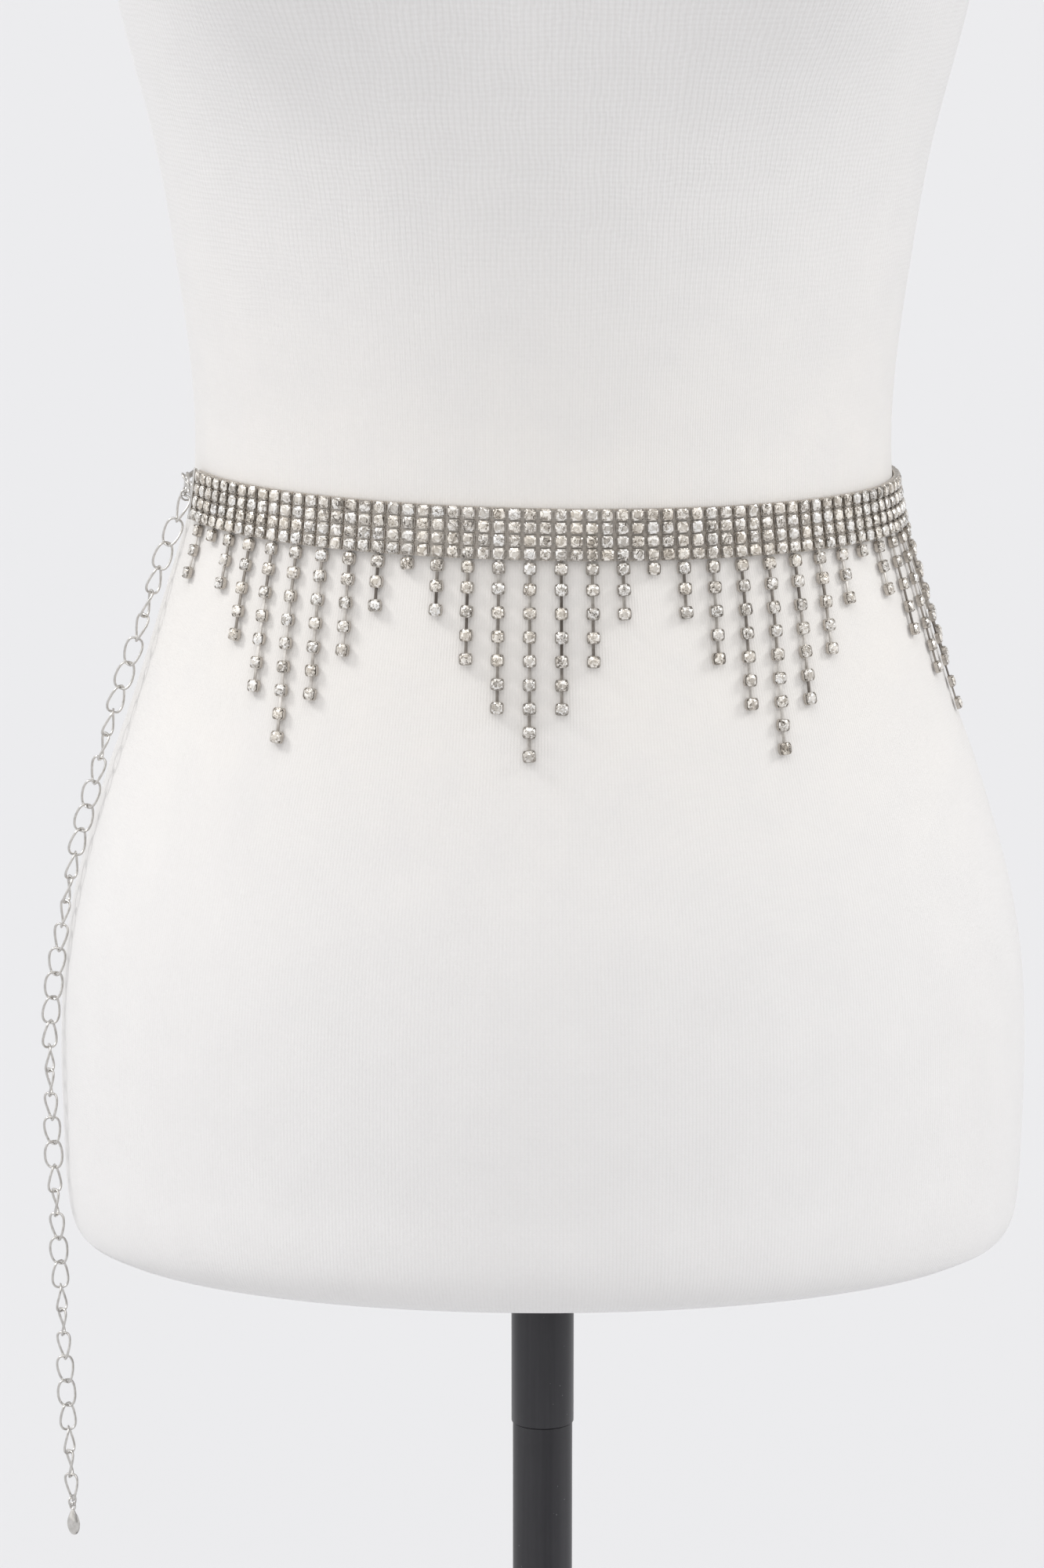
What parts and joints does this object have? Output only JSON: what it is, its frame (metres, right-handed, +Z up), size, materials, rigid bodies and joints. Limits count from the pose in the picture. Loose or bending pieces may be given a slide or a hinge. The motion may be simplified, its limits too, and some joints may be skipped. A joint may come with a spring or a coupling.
{
  "type": "gemstone belt on a limbless dress form",
  "caption": "Claw-set gemstone belt with a pointed fringe of stone strands, closed by a spring clasp with a long extender chain, worn by a plain limbless dress form on a round-base stand.",
  "frame": {"origin": "on the floor under the middle of the round base, which is the axis of the pole", "axes": "+Z up the pole, +X towards the wearer's left, and the wearer faces -Y"},
  "size_m": [0.37, 0.37, 1.4703],
  "materials": {
    "jersey": "fine matt white jersey",
    "black_paint": "satin black",
    "crystal": "foiled clear crystal, cut",
    "silver_plate": "polished silver plate"
  },
  "bodies": {
    "root": {"torso_form": "jersey", "neck_cap": "black_paint", "mount_plate": "black_paint", "pole_socket": "black_paint", "pole": "black_paint", "base_hub": "black_paint", "base_plate": "black_paint", "stone_band": "crystal", "stone_fringe": "crystal", "end_bar_front": "silver_plate", "end_bar_back": "silver_plate", "jump_ring_front": "silver_plate", "jump_ring_back": "silver_plate", "spring_clasp": "silver_plate", "chain_ring": "silver_plate", "extender_chain": "silver_plate", "drop_ring": "silver_plate", "chain_drop": "silver_plate"}
  },
  "joints": []
}
